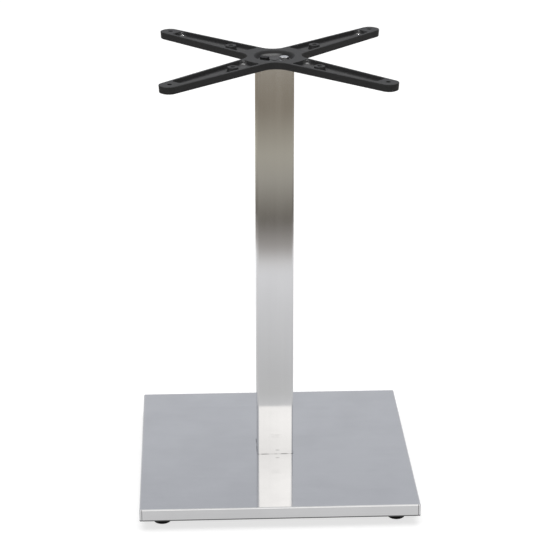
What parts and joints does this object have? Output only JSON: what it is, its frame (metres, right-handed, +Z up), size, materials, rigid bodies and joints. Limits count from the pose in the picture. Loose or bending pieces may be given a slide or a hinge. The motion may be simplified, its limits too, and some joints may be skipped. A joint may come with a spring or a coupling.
{
  "type": "dining table base",
  "caption": "Free-standing pedestal table base with a square folded steel foot, a square column, a cast cross-shaped spider for the top and screw-in levelling feet.",
  "frame": {"origin": "on the floor, under the middle of the column", "axes": "+Z up the column, +X to the right and +Y to the back, square with the base"},
  "size_m": [0.45, 0.45, 0.72],
  "materials": {
    "brushed_stainless": "brushed stainless, semi-bright",
    "black_casting": "semi-gloss black powder coat",
    "black_steel": "matt black primer",
    "plain_steel": "bare mill steel",
    "zinc_fastener": "bright zinc plate",
    "dark_fastener": "black oxide",
    "black_plastic": "moulded black plastic, satin"
  },
  "bodies": {
    "stand": {"base_cover": "brushed_stainless", "ballast_plate": "black_steel", "column_tube": "brushed_stainless", "column_foot_plate": "plain_steel", "column_head_plate": "plain_steel", "spider": "black_casting", "spider_bolt_left": "dark_fastener", "spider_bolt_right": "zinc_fastener", "spider_washer_left": "dark_fastener", "spider_washer_right": "zinc_fastener", "column_bolt_front_left": "zinc_fastener", "column_washer_front_left": "zinc_fastener", "foot_nut_front_left": "zinc_fastener", "column_bolt_front_right": "zinc_fastener", "column_washer_front_right": "zinc_fastener", "foot_nut_front_right": "zinc_fastener", "column_bolt_rear_left": "zinc_fastener", "column_washer_rear_left": "zinc_fastener", "foot_nut_rear_left": "zinc_fastener", "column_bolt_rear_right": "zinc_fastener", "column_washer_rear_right": "zinc_fastener", "foot_nut_rear_right": "zinc_fastener"},
    "foot_front_left": {"foot_pad_front_left": "black_plastic", "foot_stem_front_left": "zinc_fastener"},
    "foot_front_right": {"foot_pad_front_right": "black_plastic", "foot_stem_front_right": "zinc_fastener"},
    "foot_rear_left": {"foot_pad_rear_left": "black_plastic", "foot_stem_rear_left": "zinc_fastener"},
    "foot_rear_right": {"foot_pad_rear_right": "black_plastic", "foot_stem_rear_right": "zinc_fastener"}
  },
  "joints": [
    {"name": "level_front_left", "type": "slide", "parent": "stand", "child": "foot_front_left", "axis": [0, 0, 1], "range_m": [-0.005, 0.0045]},
    {"name": "level_front_right", "type": "slide", "parent": "stand", "child": "foot_front_right", "axis": [0, 0, 1], "range_m": [-0.005, 0.0045]},
    {"name": "level_rear_left", "type": "slide", "parent": "stand", "child": "foot_rear_left", "axis": [0, 0, 1], "range_m": [-0.005, 0.0045]},
    {"name": "level_rear_right", "type": "slide", "parent": "stand", "child": "foot_rear_right", "axis": [0, 0, 1], "range_m": [-0.005, 0.0045]}
  ]
}
